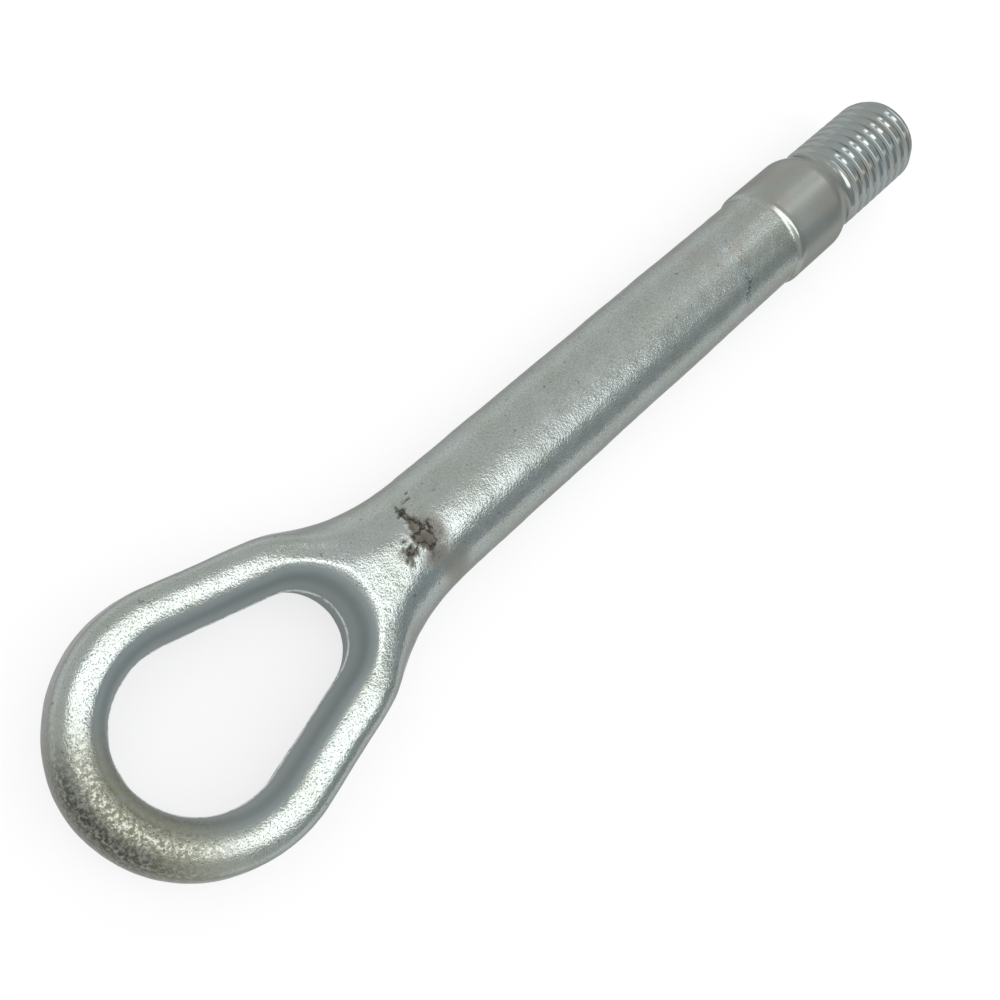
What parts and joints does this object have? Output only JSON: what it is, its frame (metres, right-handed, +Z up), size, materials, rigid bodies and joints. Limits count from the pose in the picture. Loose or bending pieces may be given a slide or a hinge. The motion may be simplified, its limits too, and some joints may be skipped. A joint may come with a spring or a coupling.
{
  "type": "screw-in tow eye",
  "caption": "Screw-in vehicle tow eye: a pear-shaped forged loop on a long round shank, with a machined pilot collar and a threaded end.",
  "frame": {"origin": "under the middle of the piece, on the surface that it lies on", "axes": "+X along the shank from the eye to the threaded end, +Y across the flat of the eye, +Z up through the eye's hole"},
  "size_m": [0.2046, 0.0456, 0.0203],
  "materials": {
    "zinc_plated_steel": "bright zinc plate over a forged skin, satin on the machined collar"
  },
  "bodies": {
    "root": {"tow_eye": "zinc_plated_steel"}
  },
  "joints": []
}
